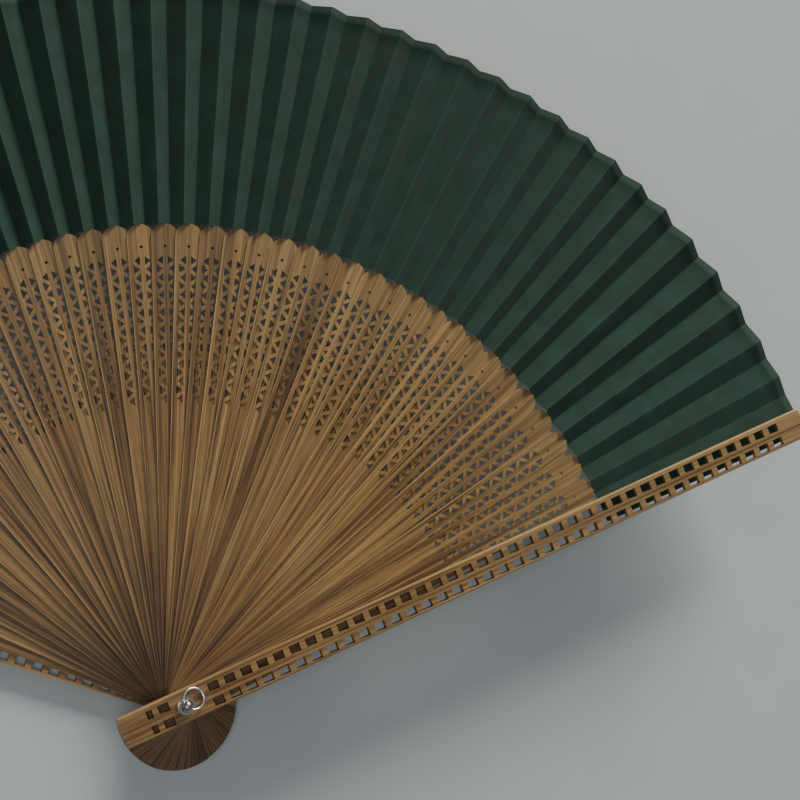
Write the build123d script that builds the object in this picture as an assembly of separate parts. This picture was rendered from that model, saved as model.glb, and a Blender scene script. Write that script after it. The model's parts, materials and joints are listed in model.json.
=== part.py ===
from build123d import *
import math
import os

# Folding fan, open, lying on its back. Millimetres.
# +Z runs along the rivet from the back guard to the front guard, +Y along the middle of the
# open fan, and the origin is the middle of the rivet's flat back face.
# Every stick (a guard or a rib) is modelled pointing along +X from the rivet, then turned.

# overall sizes
guard_length = 210.0
tail_length = 18.0          # rivet axis to the rounded tail end of every stick
open_angle = 139.0          # between the two guards
rib_count = 42
wide_gaps_back = 15         # steps from stick to stick beside the back guard that are wider
wide_gaps_front = 6         # and beside the front guard
wide_gap_ratio = 1.16       # a wider step over a step in the middle of the fan

# guards
guard_width = 8.4
guard_thickness = 2.6
guard_chamfer = 0.35
guard_tip_radius = 0.9
leaf_relief = 0.85          # thinning of a guard's inner face where the folded leaf lies
relief_ramp = 2.5
groove_width = 0.3
groove_depth = 0.15

# windows of the guards, in two rows
window_pitch = 4.7
window_length = 2.95
window_height = 2.3
row_spacing = 4.08
row_offset = 0.25           # both rows lie this far towards the guard's outer edge
first_window = 7.05         # rivet axis to the first window in front of it
rear_window = 4.0           # rivet axis to the first window behind it
rear_gap = 1.65
half_window_length = 1.65
tip_margin = 8.0            # least solid wood between the last window and the tip

# ribs
rib_width = 7.3
rib_thickness = 0.38
rib_gap = 0.12              # free space between neighbouring ribs, and to the guards
fingertip_length = 3.2      # rounded end of the wide part of a rib
shoulder_radius = 126.9     # rivet axis to that rounded end
slip_width = 1.9            # narrow strip behind the leaf, at its root
slip_end_width = 1.5
slip_thickness = 0.24
slip_neck = 0.05            # flat stretch between the rounded end and the tilted slip

# lattice of the ribs
lattice_cells = 9
lattice_pitch = 4.63
lattice_to_shoulder = 7.5
spine_half_width = 0.65
lattice_edge = 1.15         # solid rail along each edge of a rib
inner_triangle_base = 2.4   # the triangles that stand on the spine
inner_triangle_depth = 1.55
outer_triangle_base = 2.7   # the triangles that stand on the rails
outer_triangle_depth = 1.7
diamond_to_shoulder = 6.1
diamond_half = 0.5

# leaf
leaf_gap = 0.4              # shoulder of the ribs to the leaf's inner edge
leaf_end_gap = 0.3          # leaf's outer edge to the tip of the guards
slip_end_gap = 3.0          # slip's end to the leaf's outer edge
leaf_thickness = 0.2
leaf_clearance = 0.14       # leaf to slip, and leaf to guard
pleat_slope = 0.72          # rise over run of a pleat in the open fan
edge_slope = 0.24           # the same beside a guard
slope_step = 0.14
tab_half_width = 2.8        # half of the strip of leaf glued to each guard

# rivet, washers and hanging ring
rivet_radius = 1.3
running_clearance = 0.06
back_head_radius = 2.7
back_head_height = 0.9
back_head_fillet = 0.4
back_washer_radius = 3.3
front_washer_radius = 2.4
washer_thickness = 0.3
collar_radius = 2.0
collar_height = 0.3
ball_radius = 1.6
ball_sink = 0.3             # how far the ball is set into its collar
eye_radius = 0.45
eye_mouth_radius = 1.0
eye_straight = 0.4
ring_radius = 2.75
ring_wire_radius = 0.33
ring_rest_gap = 0.1         # ring to the guard's face as it lies down
ring_direction = 43.0       # from +X, the side on which the ring lies

# worked out from the above
front_angle = 90.0 - open_angle / 2
rib_pitch = rib_thickness + rib_gap
tip_radius = guard_length - tail_length
leaf_inner = shoulder_radius + leaf_gap
leaf_outer = tip_radius - leaf_end_gap
back_guard_bottom = back_head_height + washer_thickness
back_guard_top = back_guard_bottom + guard_thickness
front_guard_bottom = back_guard_top + rib_gap + rib_count * rib_pitch
front_guard_top = front_guard_bottom + guard_thickness
bore_radius = rivet_radius + running_clearance


def gap_share(gap):
    """Size of the step after a stick, over a step in the middle of the fan."""
    in_middle = wide_gaps_back <= gap < rib_count + 1 - wide_gaps_front
    return 1.0 if in_middle else wide_gap_ratio


def stick_angle(index):
    """Direction of a stick, counted from the back guard, 0, to the front guard."""
    shares = [gap_share(gap) for gap in range(rib_count + 1)]
    return front_angle + open_angle * sum(shares[index:]) / sum(shares)


def quarter_step(index):
    """A quarter of the mean step on the two sides of a rib."""
    return (stick_angle(index - 1) - stick_angle(index + 1)) / 8


def rib_height(index):
    """Middle of a rib's thickness."""
    return back_guard_top + rib_gap + (index - 1) * rib_pitch + rib_thickness / 2


def slope_at(index):
    """Rise over run of the pleat on a rib: flatter beside the guards."""
    from_guard = min(index, rib_count + 1 - index)
    return min(pleat_slope, edge_slope + slope_step * (from_guard - 1))


def stick_outline(width, end):
    """Flat stick from its rounded tail to x = end, with the rivet axis at the origin."""
    blank = Pos((end - tail_length) / 2, 0) * Rectangle(end + tail_length, width)
    tail = Circle(tail_length) + Pos(end / 2, 0) * Rectangle(end, width)
    return blank & tail


def window_row(side):
    """The windows of one row, as a sketch."""
    y = side * row_spacing / 2 - row_offset
    last = tip_radius - tip_margin - window_length
    count = int((last - first_window) / window_pitch) + 1
    starts = [(first_window + n * window_pitch, window_length) for n in range(count)]
    starts.append((-rear_window - window_length, window_length))
    starts.append((-rear_window - window_length - rear_gap - half_window_length, half_window_length))
    return [Pos(x + length / 2, y) * Rectangle(length, window_height) for x, length in starts]


def make_guard():
    """A guard with its inner face at z = 0 and its outer edge towards -Y."""
    outline = stick_outline(guard_width, tip_radius)
    corners = outline.vertices().sort_by(Axis.X)[-2:]
    outline = fillet(corners, guard_tip_radius)
    blank = extrude(outline, guard_thickness)
    long_edges = [
        e
        for e in blank.edges().filter_by(Axis.X)
        if e.center().Z > guard_thickness / 2
    ]
    blank = chamfer(long_edges, guard_chamfer)
    length = tip_radius - shoulder_radius
    ramp_section = make_face(
        Polyline(
            (shoulder_radius - relief_ramp, -leaf_relief),
            (shoulder_radius - relief_ramp, 0),
            (shoulder_radius, leaf_relief),
            (shoulder_radius + 2 * length, leaf_relief),
            (shoulder_radius + 2 * length, -leaf_relief),
            close=True,
        )
    )
    relief = extrude(Plane.XZ * ramp_section, guard_width, both=True)
    groove = Pos(
        first_window + tip_radius / 2, -row_offset, guard_thickness - groove_depth / 2
    ) * Box(tip_radius, groove_width, groove_depth)
    windows = extrude(Sketch() + window_row(1) + window_row(-1), guard_thickness)
    bore = Cylinder(bore_radius, 3 * guard_thickness)
    return blank - relief - groove - windows - bore


def triangle(x, base, base_y, apex_y):
    half = base / 2
    return make_face(
        Polyline((x - half, base_y), (x + half, base_y), (x, apex_y), close=True)
    )


def lattice():
    """Triangles cut through a rib: a row on each side of the spine, and one along each rail."""
    start = shoulder_radius - lattice_to_shoulder - lattice_cells * lattice_pitch
    rail = rib_width / 2 - lattice_edge
    cuts = []
    for side in (1, -1):
        for cell in range(lattice_cells):
            x = start + (cell + 0.5) * lattice_pitch
            apex = side * (spine_half_width + inner_triangle_depth)
            cuts.append(triangle(x, inner_triangle_base, side * spine_half_width, apex))
        for cell in range(1, lattice_cells):
            x = start + cell * lattice_pitch
            apex = side * (rail - outer_triangle_depth)
            cuts.append(triangle(x, outer_triangle_base, side * rail, apex))
    diamond = Rot(Z=45) * Rectangle(diamond_half * 2**0.5, diamond_half * 2**0.5)
    cuts.append(Pos(shoulder_radius - diamond_to_shoulder, 0) * diamond)
    return cuts


def make_flat_rib():
    """The wide part of a rib, centred on z = 0."""
    straight_end = shoulder_radius - fingertip_length
    outline = stick_outline(rib_width, straight_end)
    outline += Pos(straight_end, 0) * Ellipse(fingertip_length, rib_width / 2)
    outline -= Circle(bore_radius)
    outline -= lattice()
    wide = extrude(outline, rib_thickness / 2, both=True)
    neck_start = shoulder_radius - fingertip_length / 2
    neck_length = fingertip_length / 2 + slip_neck
    neck = Pos(neck_start + neck_length / 2, 0, 0) * Box(
        neck_length, slip_width, slip_thickness
    )
    return wide + neck


def make_slip(slope):
    """The narrow strip behind the leaf, tilted to lie along its pleat."""
    start = shoulder_radius + slip_neck
    end = leaf_outer - slip_end_gap
    outline = make_face(
        Polyline(
            (start, -slip_width / 2),
            (end, -slip_end_width / 2),
            (end, slip_end_width / 2),
            (start, slip_width / 2),
            close=True,
        )
    )
    return Rot(X=math.degrees(math.atan(slope))) * extrude(outline, slip_thickness / 2, both=True)


def make_rib(index, flat_rib):
    solid = flat_rib + make_slip(slope_at(index))
    return Pos(0, 0, rib_height(index)) * Rot(Z=stick_angle(index)) * solid


def at_stick(index, radius, y, z):
    """A point at a radius from the rivet and y to the left of a stick's middle line."""
    angle = math.radians(stick_angle(index)) + math.asin(y / radius)
    return Vector(radius * math.cos(angle), radius * math.sin(angle), z)


def fold_points(radius):
    """Every fold of the leaf at one radius, from the back guard to the front guard."""
    slip_top = slip_thickness / 2 * math.hypot(1, pleat_slope)
    lift = slip_top + leaf_clearance + leaf_thickness / 2
    off_guard = leaf_clearance + leaf_thickness / 2
    back_tab = back_guard_top - leaf_relief + off_guard
    front_tab = front_guard_bottom + leaf_relief - off_guard
    points = [at_stick(0, radius, side * tab_half_width, back_tab) for side in (1, -1)]
    for index in range(1, rib_count + 1):
        half = radius * math.sin(math.radians(quarter_step(index)))
        for side in (1, -1):
            z = rib_height(index) + lift + side * half * slope_at(index)
            points.append(at_stick(index, radius, side * half, z))
    last = rib_count + 1
    points += [at_stick(last, radius, side * tab_half_width, front_tab) for side in (1, -1)]
    return points


def polygon(*corners):
    return Face(Wire.make_polygon(corners, close=True))


def make_leaf():
    """The pleated sheet as one thin closed solid."""
    up = Vector(0, 0, leaf_thickness / 2)
    inner, outer = fold_points(leaf_inner), fold_points(leaf_outer)
    faces = []
    for k in range(len(inner) - 1):
        a, b, c, d = inner[k], outer[k], outer[k + 1], inner[k + 1]
        for shift in (up, -up):
            faces.append(polygon(a + shift, b + shift, c + shift))
            faces.append(polygon(a + shift, c + shift, d + shift))
        faces.append(polygon(a - up, d - up, d + up, a + up))
        faces.append(polygon(b - up, c - up, c + up, b + up))
    for a, b in ((inner[0], outer[0]), (inner[-1], outer[-1])):
        faces.append(polygon(a - up, b - up, b + up, a + up))
    return Solid(Shell(faces))


def make_rivet_shaft():
    """Round shaft through the back washer and every stick, up to the front collar."""
    length = front_guard_top + washer_thickness - back_head_height
    return Pos(0, 0, back_head_height + length / 2) * Cylinder(rivet_radius, length)


def make_back_head():
    head = Pos(0, 0, back_head_height / 2) * Cylinder(back_head_radius, back_head_height)
    bottom = head.edges().sort_by(Axis.Z)[0]
    return fillet(bottom, back_head_fillet)


def make_washer(radius, bottom):
    washer = Cylinder(radius, washer_thickness) - Cylinder(bore_radius, 2 * washer_thickness)
    return Pos(0, 0, bottom + washer_thickness / 2) * washer


def ball_height():
    collar_bottom = front_guard_top + washer_thickness
    return collar_bottom + collar_height + ball_radius - ball_sink


def make_front_head():
    """Collar and ball, with an eye through the ball for the ring."""
    collar_middle = front_guard_top + washer_thickness + collar_height / 2
    collar = Pos(0, 0, collar_middle) * Cylinder(collar_radius, collar_height)
    profile = make_face(
        Polyline(
            (0, -1.1 * ball_radius),
            (eye_mouth_radius, -1.1 * ball_radius),
            (eye_radius, -eye_straight),
            (eye_radius, eye_straight),
            (eye_mouth_radius, 1.1 * ball_radius),
            (0, 1.1 * ball_radius),
            close=True,
        )
    )
    eye = Rot(Z=ring_direction) * Rot(X=90) * revolve(Plane.XZ * profile, Axis.Z)
    ball = Sphere(ball_radius) - eye
    return collar + Pos(0, 0, ball_height()) * ball


def make_ring():
    """The ring hooked through the eye, lying down until its far side nears the guard."""
    drop = ball_height() - front_guard_top - ring_wire_radius - ring_rest_gap
    tilt = math.degrees(math.asin(drop / (2 * ring_radius)))
    ring = Pos(ring_radius, 0, 0) * Torus(ring_radius, ring_wire_radius)
    return Pos(0, 0, ball_height()) * Rot(Z=ring_direction) * Rot(Y=tilt) * ring


def make_all():
    guard = make_guard()
    flat_rib = make_flat_rib()
    nodes = {
        "back_guard": Pos(0, 0, back_guard_top) * Rot(Z=stick_angle(0)) * Rot(X=180) * guard,
        "front_guard": Pos(0, 0, front_guard_bottom) * Rot(Z=front_angle) * guard,
        "leaf": make_leaf(),
        "rivet_shaft": make_rivet_shaft(),
        "rivet_back_head": make_back_head(),
        "rivet_back_washer": make_washer(back_washer_radius, back_head_height),
        "rivet_front_washer": make_washer(front_washer_radius, front_guard_top),
        "rivet_front_head": make_front_head(),
        "hanging_ring": make_ring(),
    }
    for index in range(1, rib_count + 1):
        nodes[f"rib_{index:02d}"] = make_rib(index, flat_rib)
    return nodes


os.makedirs("parts", exist_ok=True)
for name, shape in make_all().items():
    export_step(shape, f"parts/{name}.step")
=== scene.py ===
import json
import math
import random

import bpy
from mathutils import Matrix, Vector


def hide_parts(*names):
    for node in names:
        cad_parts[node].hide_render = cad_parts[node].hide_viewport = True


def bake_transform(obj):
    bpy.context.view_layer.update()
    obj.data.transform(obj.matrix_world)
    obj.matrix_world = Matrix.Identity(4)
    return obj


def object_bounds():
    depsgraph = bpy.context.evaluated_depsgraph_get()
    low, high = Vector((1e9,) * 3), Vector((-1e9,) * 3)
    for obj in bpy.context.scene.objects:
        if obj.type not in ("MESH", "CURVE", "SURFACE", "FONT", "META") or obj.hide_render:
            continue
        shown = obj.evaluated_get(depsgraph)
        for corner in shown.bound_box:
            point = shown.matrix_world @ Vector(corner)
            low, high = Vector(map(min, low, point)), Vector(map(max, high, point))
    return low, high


# Open folding fan of bamboo and pleated cloth. Metres, in the frame of the CAD model:
# origin on the rivet, +Z from the back guard to the front guard, +Y along the fan's middle.

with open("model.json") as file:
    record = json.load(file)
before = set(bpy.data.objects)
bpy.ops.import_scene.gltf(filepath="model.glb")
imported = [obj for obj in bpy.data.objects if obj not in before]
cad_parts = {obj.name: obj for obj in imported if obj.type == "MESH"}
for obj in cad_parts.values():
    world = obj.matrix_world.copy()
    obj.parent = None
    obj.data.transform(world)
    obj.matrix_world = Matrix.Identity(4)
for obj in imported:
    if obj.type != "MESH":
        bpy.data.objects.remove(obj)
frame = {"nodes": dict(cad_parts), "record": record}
cad_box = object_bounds()
record = frame["record"]
nodes = frame["nodes"]

MM = 0.001

# leaf
cloth_thickness = 0.16 * MM
hem_width = 2.3 * MM            # the turned edge along the rim
hem_extra = 0.05 * MM           # its extra thickness on each face
hem_step = 0.12 * MM
leaf_drop = 0.10 * MM           # cloth under the middle of the CAD sheet, down onto the slips
edge_reach = 0.55 * MM          # cloth past the CAD sheet's inner edge, up to the rib ends
crease_radius = 0.16 * MM
crease_fade = 0.42 * MM         # from a fold to where the wear along it ends
crease_flattening = 0.05 * MM
panel_bulge = 0.10 * MM
fold_wander = 0.10 * MM         # how far a fold strays from a straight line
rows_between_hems = 16
steepest_mitre = 0.5            # least cosine that a mitred thickness is divided by
belly_places = (0.25, 0.5, 0.75)
panel_shift = 13.7 * MM         # shift of the weave from one fold to the next
wander_seed = 1000              # added to a fold's number
belly_seed = 31                 # multiplied by a fold's number

# bamboo and metal
edge_highlight_breadth = 0.26 * MM           # breadth of the painted highlight along a stick's long edges
# strength and colour of the painted highlight along the long edges
edge_highlight_strength = 0.65
edge_highlight_colour = (0.45, 0.30, 0.13)
rivet_shade_from = 12 * MM          # painted shade on the wood round the rivet, and where it has faded out
rivet_shade_to = 50 * MM
bleached_from = 85 * MM         # the greyer, paler wood towards the rib tips
bleached_to = 122 * MM
grain_shift = (0.731, 0.153, 0.0)   # from one stick's grain to the next one's
guard_grain = 90                # the guards' grain starts here, past the ribs'
guard_tone = 0.15               # tone of both guards; the ribs' tones are drawn at random
tone_seed = 7
metal_smoothing = 35            # degrees
cloth_smoothing = 25

# camera, fitted to the photograph
camera_place = (-0.08608, 0.05664, 0.53873)
camera_forward = (0.27615, 0.03853, -0.96034)
camera_up = (0.03091, 0.99832, 0.04895)
camera_lens = 89.4

# studio
light_aim = (0.0, 0.10, 0.01)
key_place = (1.04, 2.20, 0.99)  # low, towards the picture's upper right
fill_place = (-0.30, 0.0, 1.25)  # behind the camera
world_strength = 0.22
floor_half = 4.0


# ---------- the frame ----------

def joint_steps():
    """Angle from each stick to the next, from the back guard to the front guard."""
    behaviour = record["behaviour"]
    whole = next(j for j in behaviour["joints"] if j["name"] == "fan_fold")["range_deg"][1]
    ratios = {c["joint"]: c["ratio"] for c in behaviour["couplings"]}
    ribs = sorted(name for name in nodes if name.startswith("rib_"))
    steps = [whole * ratios[f"{rib}_turn"] for rib in ribs]
    return steps + [whole - sum(steps)]


steps = joint_steps()
rib_count = len(steps) - 1
open_angle = sum(steps)
front_angle = 90 - open_angle / 2


def stick_angle(index):
    """Direction of a stick in radians, counted from the back guard, 0, to the front guard."""
    return math.radians(front_angle + sum(steps[index:]))


def cad_folds(at_rim):
    """Angle and height of every fold of the CAD leaf along one of its two edges."""
    points = [v.co for v in nodes["leaf"].data.vertices]
    radii = [p.xy.length for p in points]
    middle = (min(radii) + max(radii)) / 2
    edge = [p for p, r in zip(points, radii) if (r > middle) == at_rim]
    heights = {}
    for p in edge:
        heights.setdefault(round(math.atan2(p.y, p.x), 4), set()).add(round(p.z, 6))
    angles = sorted(heights, reverse=True)
    radius = max(radii) if at_rim else min(radii)
    return radius, [(a, (min(heights[a]) + max(heights[a])) / 2) for a in angles]


# ---------- materials ----------

class Nodes:
    """Short calls for building one material's node tree."""

    def __init__(self, name):
        self.material = bpy.data.materials.new(name)
        self.material.use_nodes = True
        self.tree = self.material.node_tree
        self.shader = self.tree.nodes["Principled BSDF"]

    def add(self, kind, inputs=(), **settings):
        node = self.tree.nodes.new(kind)
        for key, value in settings.items():
            setattr(node, key, value)
        for key, value in dict(inputs).items():
            self.put(node.inputs[key], value)
        return node

    def put(self, socket, value):
        if isinstance(value, bpy.types.NodeSocket):
            self.tree.links.new(value, socket)
        else:
            socket.default_value = value

    def attribute(self, name):
        return self.add("ShaderNodeAttribute", attribute_name=name)

    def stretched(self, vector, scale):
        node = self.add("ShaderNodeMapping", {"Vector": vector, "Scale": scale})
        return node.outputs["Vector"]

    def noise(self, vector, scale, detail=3.0, roughness=0.5):
        inputs = {"Vector": vector, "Scale": scale, "Detail": detail, "Roughness": roughness}
        return self.add("ShaderNodeTexNoise", inputs).outputs["Fac"]

    def threads(self, vector, direction):
        inputs = {"Vector": vector, "Scale": 950.0, "Distortion": 1.2, "Detail": 1.0}
        wave = self.add("ShaderNodeTexWave", inputs, bands_direction=direction)
        return wave.outputs["Fac"]

    def math(self, operation, a, b=0.0):
        return self.add("ShaderNodeMath", {0: a, 1: b}, operation=operation).outputs[0]

    def ramp(self, value, low, high):
        """value from low to high, as 0 to 1."""
        inputs = {"Value": value, "From Min": low, "From Max": high}
        return self.add("ShaderNodeMapRange", inputs).outputs["Result"]

    def mix(self, share, a, b, blend="MIX"):
        node = self.add("ShaderNodeMix", data_type="RGBA", blend_type=blend)
        self.put(node.inputs["Factor"], share)
        self.put(node.inputs["A"], a if isinstance(a, bpy.types.NodeSocket) else (*a, 1))
        self.put(node.inputs["B"], b if isinstance(b, bpy.types.NodeSocket) else (*b, 1))
        return node.outputs["Result"]

    def bump(self, height, distance, strength=1.0, normal=None):
        inputs = {"Height": height, "Distance": distance, "Strength": strength}
        if normal is not None:
            inputs["Normal"] = normal
        return self.add("ShaderNodeBump", inputs).outputs["Normal"]

    def finish(self, **inputs):
        for key, value in inputs.items():
            self.put(self.shader.inputs[key.replace("_", " ")], value)
        return self.material


def bamboo(name, pale, dark, streak_share, rivet_shade_strength, half_width):
    """Split bamboo: long fibres along the stick, a slow drift of tone, a satin face, a painted
    highlight along the long edges, painted shade on the wood round the rivet and bleached tips."""
    n = Nodes(name)
    grain = n.attribute("grain").outputs["Vector"]
    tone = n.attribute("tone").outputs["Fac"]
    fibre = n.noise(n.stretched(grain, (30, 2100, 2100)), 1.0, 4.0, 0.7)
    strand = n.noise(n.stretched(grain, (11, 750, 750)), 1.0, 3.0, 0.6)
    drift = n.noise(n.stretched(grain, (9, 60, 60)), 1.0, 2.0)
    pores = n.noise(n.stretched(grain, (220, 5200, 5200)), 1.0, 1.0)
    shade = n.math("ADD", n.math("MULTIPLY", strand, 0.5), n.math("MULTIPLY", fibre, 0.5))
    body = n.mix(n.ramp(shade, 0.40, 0.62), dark, pale)
    tinted = n.mix(n.ramp(drift, 0.35, 0.75), body, (0.92, 0.80, 0.66), "MULTIPLY")
    deepest = n.mix(1.0, tinted, (0.66, 0.60, 0.55), "MULTIPLY")
    toned = n.mix(n.ramp(tone, 0.0, 1.0), tinted, deepest)
    streaks = n.math("MULTIPLY", n.ramp(pores, 0.60, 0.72), streak_share)
    streaked = n.mix(streaks, toned, (0.09, 0.045, 0.02))
    on_stick = n.add("ShaderNodeSeparateXYZ", {"Vector": n.attribute("on_stick").outputs["Vector"]})
    # painted shade: darker wood round the rivet and on the tails lying under the guard
    rivet_shade = n.ramp(on_stick.outputs["X"], rivet_shade_to, rivet_shade_from)
    # painted highlight along both long edges of the stick, patchy with the strands
    off_middle = n.math("ABSOLUTE", on_stick.outputs["Y"])
    edge = n.ramp(off_middle, half_width - edge_highlight_breadth, half_width - edge_highlight_breadth / 3)
    patchy_edge_highlight = n.math("MULTIPLY", edge, n.ramp(strand, 0.25, 0.55))
    edge_highlighted = n.mix(n.math("MULTIPLY", patchy_edge_highlight, edge_highlight_strength), streaked, edge_highlight_colour)
    bleached = n.ramp(on_stick.outputs["X"], bleached_from, bleached_to)
    tipped = n.mix(n.math("MULTIPLY", bleached, 0.2), edge_highlighted, (0.30, 0.22, 0.105))
    # multiplies in the painted shade round the rivet
    color = n.mix(n.math("MULTIPLY", rivet_shade, rivet_shade_strength), tipped, (0.48, 0.39, 0.33), "MULTIPLY")
    rough = n.ramp(fibre, -0.6, 1.9)
    relief = n.math("ADD", fibre, n.math("MULTIPLY", pores, -0.5))
    return n.finish(
        Base_Color=color,
        Roughness=rough,
        Normal=n.bump(relief, 0.00006, 0.7),
        Specular_IOR_Level=0.35,
    )


def cloth(name):
    """Fine plain weave, dyed dark green, paler along the worn creases and the hem."""
    n = Nodes(name)
    place = n.attribute("cloth").outputs["Vector"]
    crease = n.attribute("crease").outputs["Fac"]
    hem = n.attribute("hem").outputs["Fac"]
    weave = n.math("MULTIPLY", n.threads(place, "X"), n.threads(place, "Y"))
    slub = n.noise(n.stretched(place, (500, 90, 1)), 1.0, 2.0)
    mottle = n.noise(place, 130.0, 3.0)
    patch = n.noise(place, 38.0, 2.0)
    green = n.mix(n.ramp(patch, 0.3, 0.7), (0.0070, 0.0270, 0.0175), (0.0125, 0.0300, 0.0170))
    worn = n.mix(n.ramp(mottle, 0.42, 0.75), green, (0.015, 0.042, 0.030))
    woven = n.mix(n.math("MULTIPLY", weave, 0.5), worn, (0.028, 0.064, 0.047))
    slubs = n.mix(n.math("MULTIPLY", n.ramp(slub, 0.6, 0.8), 0.25), woven, (0.042, 0.068, 0.056))
    hemmed = n.mix(n.math("MULTIPLY", hem, 0.45), slubs, (0.042, 0.070, 0.050))
    creased = n.mix(n.math("MULTIPLY", crease, 0.15), hemmed, (0.062, 0.115, 0.085))
    relief = n.math("ADD", weave, n.math("MULTIPLY", mottle, 0.6))
    return n.finish(
        Base_Color=creased,
        Roughness=0.86,
        Sheen_Weight=0.08,
        Sheen_Roughness=0.5,
        Specular_IOR_Level=0.25,
        Normal=n.bump(relief, 0.00008, 0.55),
    )


def metal(name, bright, tarnished):
    """Polished plated metal with faint turning marks."""
    n = Nodes(name)
    place = n.add("ShaderNodeTexCoord").outputs["Object"]
    marks = n.noise(n.stretched(place, (900, 900, 6000)), 1.0, 2.0)
    tarnish = n.noise(place, 700.0, 3.0)
    color = n.mix(n.ramp(tarnish, 0.4, 0.8), bright, tarnished)
    return n.finish(
        Base_Color=color,
        Metallic=1.0,
        Roughness=n.ramp(tarnish, -0.6, 3.4),
        Normal=n.bump(marks, 0.00001, 0.3),
    )


def floor_paint(name):
    """Matt pale studio floor."""
    n = Nodes(name)
    place = n.add("ShaderNodeTexCoord").outputs["Object"]
    grain = n.noise(place, 60.0, 4.0)
    color = n.mix(grain, (0.42, 0.45, 0.45), (0.46, 0.49, 0.49))
    return n.finish(Base_Color=color, Roughness=0.9)


# ---------- carried-over CAD pieces ----------

def smooth_by_angle(obj, degrees):
    obj.data.polygons.foreach_set("use_smooth", [True] * len(obj.data.polygons))
    obj.data.set_sharp_from_angle(angle=math.radians(degrees))


def set_material(obj, material):
    obj.data.materials.clear()
    obj.data.materials.append(material)


def lay_grain(obj, angle, seed, tone):
    """Stores each point's place on the stick, a shifted copy of it that gives every stick its
    own grain, and the stick's tone."""
    turn = Matrix.Rotation(-angle, 4, "Z")
    shift = Vector([part * seed for part in grain_shift])
    places = [turn @ v.co for v in obj.data.vertices]
    grain = obj.data.attributes.new("grain", "FLOAT_VECTOR", "POINT")
    grain.data.foreach_set("vector", [c for p in places for c in p + shift])
    on_stick = obj.data.attributes.new("on_stick", "FLOAT_VECTOR", "POINT")
    on_stick.data.foreach_set("vector", [c for p in places for c in p])
    tones = obj.data.attributes.new("tone", "FLOAT", "POINT")
    tones.data.foreach_set("value", [tone] * len(places))


def half_width(node, index):
    """Half the width of the stick with that index."""
    turn = Matrix.Rotation(-stick_angle(index), 4, "Z")
    return max((turn @ v.co).y for v in nodes[node].data.vertices)


def dress_sticks():
    rib_wood = bamboo(
        "bamboo_rib",
        pale=(0.350, 0.215, 0.076),
        dark=(0.066, 0.030, 0.008),
        streak_share=0.6,
        # strength of the painted shade round the rivet on the ribs
        rivet_shade_strength=0.85,
        half_width=half_width("rib_21", 21),
    )
    guard_wood = bamboo(
        "bamboo_guard",
        pale=(0.370, 0.235, 0.095),
        dark=(0.120, 0.062, 0.020),
        streak_share=0.5,
        # strength of the painted shade round the rivet on the guards
        rivet_shade_strength=0.15,
        half_width=half_width("front_guard", rib_count + 1),
    )
    dice = random.Random(tone_seed)
    for index in range(1, rib_count + 1):
        rib = nodes[f"rib_{index:02d}"]
        lay_grain(rib, stick_angle(index), index, dice.random() ** 2)
        set_material(rib, rib_wood)
    for name, index in (("back_guard", 0), ("front_guard", rib_count + 1)):
        lay_grain(nodes[name], stick_angle(index), guard_grain + index, guard_tone)
        set_material(nodes[name], guard_wood)


def dress_metal():
    plated = metal("rivet_metal", (0.42, 0.39, 0.35), (0.20, 0.17, 0.14))
    wire = metal("ring_metal", (0.86, 0.84, 0.79), (0.60, 0.56, 0.50))
    for name, obj in nodes.items():
        if name.startswith("rivet_") or name == "hanging_ring":
            set_material(obj, wire if name == "hanging_ring" else plated)
            smooth_by_angle(obj, metal_smoothing)


# ---------- leaf ----------

def wander(fold, share):
    """Sideways stray of a fold along its length, the same for both panels that meet there."""
    dice = random.Random(wander_seed + fold)
    phase = dice.random()
    waves = 1.0 + 2.0 * dice.random()
    strength = dice.uniform(0.3, 1.0)
    return fold_wander * strength * math.sin(2 * math.pi * (phase + waves * share)) * share


def row_shares(length):
    """Where the rows of the mesh lie from the inner edge, 0, to the rim, 1."""
    hem_start = 1 - hem_width / length
    plain = [k / rows_between_hems * hem_start for k in range(rows_between_hems + 1)]
    return plain + [hem_start + hem_step / length, (hem_start + 1) / 2, 1.0]


class Leaf:
    """The folds of the CAD leaf, and the sheet between them."""

    def __init__(self):
        self.cad_radius, self.inner = cad_folds(False)
        self.outer_radius, self.outer = cad_folds(True)
        self.inner_radius = self.cad_radius - edge_reach
        self.length = self.outer_radius - self.inner_radius
        self.shares = row_shares(self.length)
        self.fold_count = len(self.outer)

    def fold_point(self, fold, share):
        """A fold's point at a share of the way from the inner edge to the rim."""
        radius = self.inner_radius + share * self.length
        on_cad = (radius - self.cad_radius) / (self.outer_radius - self.cad_radius)
        (a0, z0), (a1, z1) = self.inner[fold], self.outer[fold]
        # The folds at the guards and the closing piece's shared fold don't stray.
        straight = fold < 2 or fold >= self.fold_count - 3
        start = Vector((math.cos(a0), math.sin(a0))) * self.cad_radius
        end = Vector((math.cos(a1), math.sin(a1))) * self.outer_radius
        xy = start + (end - start) * on_cad
        stray = 0 if straight else wander(fold, share) / radius
        turned = Matrix.Rotation(stray, 2) @ xy
        return Vector((*turned, z0 + on_cad * (z1 - z0) - leaf_drop))


def face_direction(point, along):
    """Direction of the sheet's upper face beside a point on it, square to the line along."""
    normal = along.cross(Vector((point.x, point.y, 0)).normalized())
    return normal if normal.z > 0 else -normal


def panel_interior(a, b, fold, share):
    """Points of the panel from point a to point b of the given fold, past its rounded start,
    with a slight belly."""
    along = (b - a).normalized()
    dice = random.Random(belly_seed * fold)
    belly = panel_bulge * dice.uniform(-1, 1) * math.sin(math.pi * share)
    up = face_direction(a, along)
    points = [(a + along * crease_radius, 1.0), (a + along * crease_fade, 0.0)]
    for part in belly_places:
        points.append((a.lerp(b, part) + up * belly * math.sin(math.pi * part), 0.0))
    return points


def rounded_fold(a, b):
    """Points of the panel from fold a up to and over its rounded end at fold b."""
    along = (b - a).normalized()
    return [
        (b - along * crease_fade, 0.0),
        (b - along * crease_radius, 1.0),
        (b - Vector((0, 0, crease_flattening)), 1.0),
    ]


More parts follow.
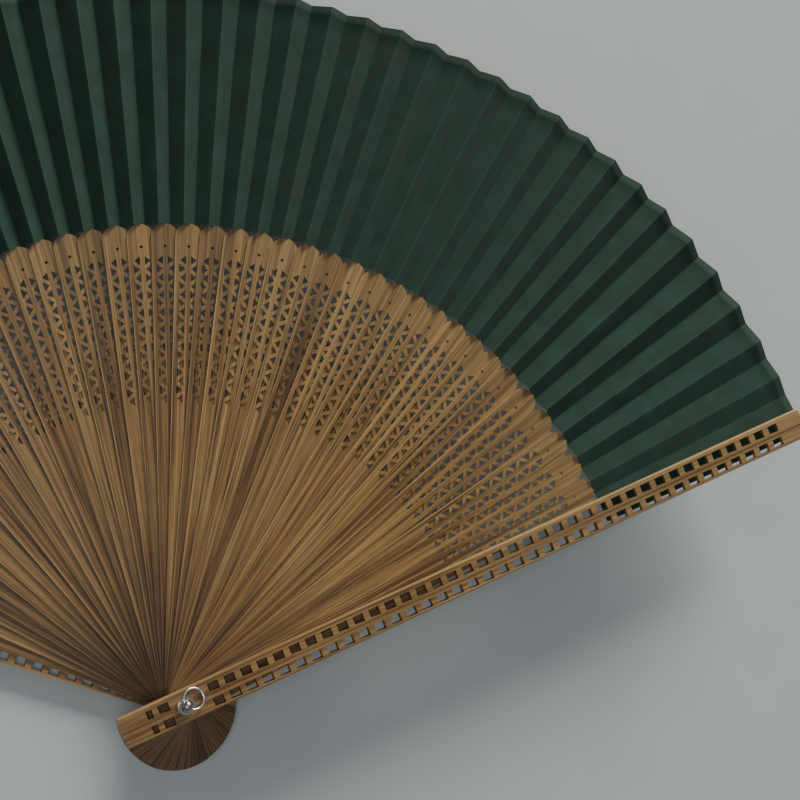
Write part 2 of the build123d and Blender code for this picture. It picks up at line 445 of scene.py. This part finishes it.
def cross_section(leaf, folds, share):
    """Points across the sheet through some folds, each with its wear. Only the last panel has
    points inside it."""
    corners = [leaf.fold_point(fold, share) for fold in folds]
    last = len(corners) - 1
    points = [(corners[0], 0.0)]
    for k in range(1, last):
        points += rounded_fold(corners[k - 1], corners[k])
    points += panel_interior(corners[last - 1], corners[last], folds[last], share)
    return points + [(corners[last], 0.0)]


def in_hem(leaf, share):
    return share > 1 - (hem_width - hem_step / 2) / leaf.length


def half_thickness(leaf, share):
    """Half the sheet's thickness at a row."""
    return cloth_thickness / 2 + (hem_extra if in_hem(leaf, share) else 0)


def offset_directions(points):
    """Direction of the sheet's upper face at each point of a cross section, mitred at folds."""
    radial = Vector((points[0].x, points[0].y, 0)).normalized()
    normals = []
    for a, b in zip(points, points[1:]):
        normal = radial.cross((b - a).normalized())
        normals.append(normal if normal.z > 0 else -normal)
    found = [normals[0]]
    for before, after in zip(normals, normals[1:]):
        middle = (before + after).normalized()
        found.append(middle / max(steepest_mitre, middle.dot(before)))
    return found + [normals[-1]]


def mitred_directions(leaf, folds, share, points):
    """Face directions along a row. The folds next to the piece count too, so that the mitre
    at a shared fold is the same on both pieces."""
    before = [leaf.fold_point(folds[0] - 1, share)] if folds[0] > 0 else []
    last = leaf.fold_count - 1
    after = [leaf.fold_point(folds[-1] + 1, share)] if folds[-1] < last else []
    directions = offset_directions(before + points + after)
    return directions[len(before):]


def row_of_points(leaf, folds, share):
    """One row's points, upper and lower face by turns, each with its wear, hem and cloth place."""
    section = cross_section(leaf, folds, share)
    points = [p for p, _ in section]
    directions = mitred_directions(leaf, folds, share, points)
    half = half_thickness(leaf, share)
    hem = float(in_hem(leaf, share))
    row = []
    across = 0.0
    for k, (point, wear) in enumerate(section):
        if k:
            across += (point - points[k - 1]).length
        place = (across + panel_shift * folds[0], share * leaf.length, 0.0)
        for side in (1, -1):
            row.append((point + directions[k] * half * side, wear, hem, place))
    return row


def sheet_faces(rows, columns):
    """Faces of a closed thin sheet whose points come in rows, upper and lower by turns."""
    faces = []
    for row in range(rows - 1):
        for column in range(columns - 1):
            a = 2 * (row * columns + column)
            b = a + 2
            c = a + 2 * columns
            d = c + 2
            faces.append((a, c, d, b))
            faces.append((a + 1, b + 1, d + 1, c + 1))
    last_row = 2 * columns * (rows - 1)
    for column in range(columns - 1):
        a = 2 * column
        faces.append((a, a + 2, a + 3, a + 1))
        a += last_row
        faces.append((a, a + 1, a + 3, a + 2))
    for row in range(rows - 1):
        a = 2 * row * columns
        faces.append((a, a + 1, a + 2 * columns + 1, a + 2 * columns))
        a += 2 * (columns - 1)
        faces.append((a, a + 2 * columns, a + 2 * columns + 1, a + 1))
    return faces


def sheet_mesh(name, leaf, folds):
    """Thin closed mesh of the sheet through some folds."""
    rows = [row_of_points(leaf, folds, share) for share in leaf.shares]
    vertices, crease, hem, place = zip(*(entry for row in rows for entry in row))
    mesh = bpy.data.meshes.new(name)
    mesh.from_pydata(vertices, [], sheet_faces(len(rows), len(rows[0]) // 2))
    mesh.validate()
    for key, values in (("crease", crease), ("hem", hem)):
        mesh.attributes.new(key, "FLOAT", "POINT").data.foreach_set("value", values)
    flat_place = [c for p in place for c in p]
    mesh.attributes.new("cloth", "FLOAT_VECTOR", "POINT").data.foreach_set("vector", flat_place)
    return mesh


def flat_size(leaf, folds):
    """Width and length of the sheet through some folds before it was folded."""
    corners = [leaf.fold_point(fold, 1.0) for fold in folds]
    width = sum((b - a).length for a, b in zip(corners, corners[1:]))
    return width, leaf.length


def piece_folds(index):
    """The folds of one piece of the leaf: a valley, a ridge and the next valley, which is the
    leaf's edge at the closing piece. The first piece also has the strip glued to the back
    guard."""
    folds = [2 * index - 1, 2 * index, 2 * index + 1]
    return [0] + folds if index == 1 else folds


def blend_piece(obj, index):
    """Bakes a piece's transform into its mesh, the closing piece too. No joint joins the last rib
    to the front guard."""
    if index == rib_count + 1:
        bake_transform(obj)
    else:
        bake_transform(obj)


def declare_sheet(leaf, folds):
    flat_size(leaf, folds)
    flat_area(leaf, folds)


def build_leaf(material):
    """One piece of cloth for each gap between neighbouring sticks."""
    leaf = Leaf()
    for index in range(1, rib_count + 2):
        folds = piece_folds(index)
        name = f"leaf_pleat_{index:02d}"
        obj = bpy.data.objects.new(name, sheet_mesh(name, leaf, folds))
        bpy.context.scene.collection.objects.link(obj)
        set_material(obj, material)
        smooth_by_angle(obj, cloth_smoothing)
        blend_piece(obj, index)
        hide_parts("leaf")
        declare_sheet(leaf, folds)


def flat_area(leaf, folds):
    """Area of the sheet through some folds, which narrows towards the rivet."""
    total = 0.0
    for low, high in zip(leaf.shares, leaf.shares[1:]):
        for a, b in zip(folds, folds[1:]):
            widths = [
                (leaf.fold_point(b, s) - leaf.fold_point(a, s)).length for s in (low, high)
            ]
            total += sum(widths) / 2 * (high - low) * leaf.length
    return total


# ---------- studio ----------

def build_floor():
    mesh = bpy.data.meshes.new("floor")
    half = floor_half
    corners = [(-half, -half, 0), (half, -half, 0), (half, half, 0), (-half, half, 0)]
    mesh.from_pydata(corners, [], [(0, 1, 2, 3)])
    floor = bpy.data.objects.new("floor", mesh)
    bpy.context.scene.collection.objects.link(floor)
    floor.location.z = cad_box[0].z
    set_material(floor, floor_paint("floor_paint"))


def area_light(name, place, size, power, color):
    data = bpy.data.lights.new(name, "AREA")
    data.shape = "DISK"
    data.size = size
    data.energy = power
    data.color = color
    light = bpy.data.objects.new(name, data)
    bpy.context.scene.collection.objects.link(light)
    light.location = place
    aim = Vector(light_aim) - Vector(place)
    light.rotation_euler = aim.to_track_quat("-Z", "Y").to_euler()


def build_light():
    area_light("key", key_place, size=1.0, power=92.0, color=(1.0, 0.98, 0.94))
    area_light("fill", fill_place, size=0.45, power=4.0, color=(0.96, 0.98, 1.0))
    world = bpy.data.worlds.new("studio")
    world.use_nodes = True
    background = world.node_tree.nodes["Background"]
    background.inputs["Color"].default_value = (0.9, 0.95, 1.0, 1)
    background.inputs["Strength"].default_value = world_strength
    bpy.context.scene.world = world


def build_camera():
    data = bpy.data.cameras.new("camera")
    data.lens = camera_lens
    data.clip_start = 0.01
    data.clip_end = 20
    camera = bpy.data.objects.new("camera", data)
    bpy.context.scene.collection.objects.link(camera)
    back = -Vector(camera_forward).normalized()
    right = Vector(camera_up).cross(back).normalized()
    up = back.cross(right)
    turn = Matrix((right, up, back)).transposed().to_4x4()
    camera.matrix_world = Matrix.Translation(camera_place) @ turn
    bpy.context.scene.camera = camera


dress_sticks()
dress_metal()
build_leaf(cloth("leaf_cloth"))
build_floor()
build_light()
build_camera()
